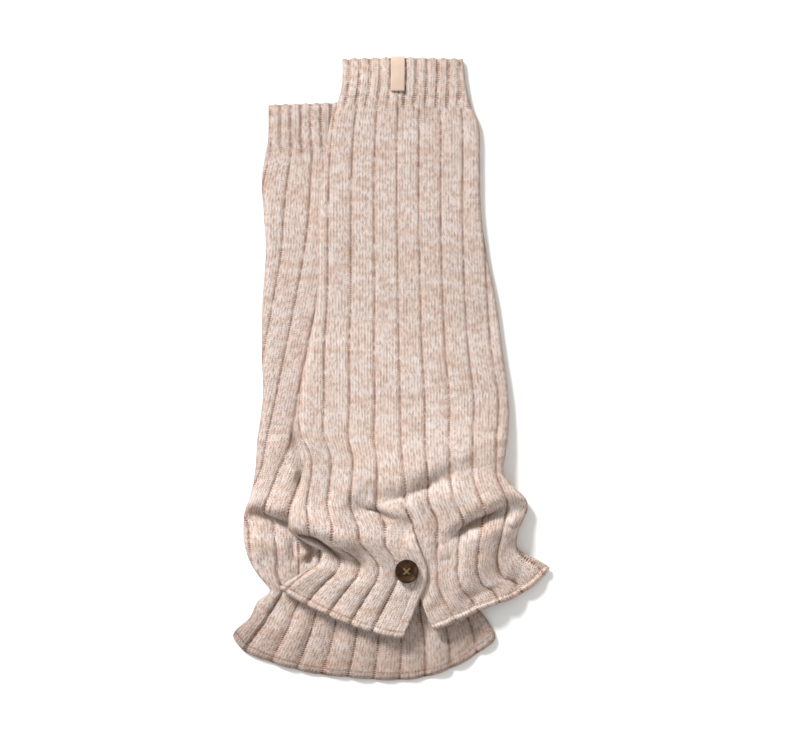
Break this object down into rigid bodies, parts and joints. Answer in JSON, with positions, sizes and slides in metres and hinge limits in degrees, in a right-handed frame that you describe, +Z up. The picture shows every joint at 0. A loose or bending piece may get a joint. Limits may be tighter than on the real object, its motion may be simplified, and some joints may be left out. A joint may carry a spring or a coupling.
{
  "type": "pair of leg warmers",
  "caption": "Pair of beige wide-rib knit leg warmers lying flat, one over the other, with ribbed cuffs, slouched ankles, flared hems and a buttoned slit.",
  "frame": {"origin": "centre of the pair's outline seen from above, on the surface that it lies on", "axes": "+X to the right and +Y towards the cuffs as seen from above, +Z up from that surface"},
  "size_m": [0.2416, 0.4742, 0.0298],
  "materials": {
    "knit": "soft marled rib knit, beige with tan flecks",
    "label": "woven peach-tan ribbon",
    "button": "dark brown tortoise, polished",
    "thread": "beige sewing thread"
  },
  "bodies": {
    "root": {"upper_cuff_front": "knit", "upper_cuff_back": "knit", "upper_body_front": "knit", "upper_body_back": "knit", "upper_placket": "knit", "upper_label": "label", "upper_button": "button", "upper_button_thread": "thread", "lower_cuff_front": "knit", "lower_cuff_back": "knit", "lower_body_front": "knit", "lower_body_back": "knit"}
  },
  "joints": []
}
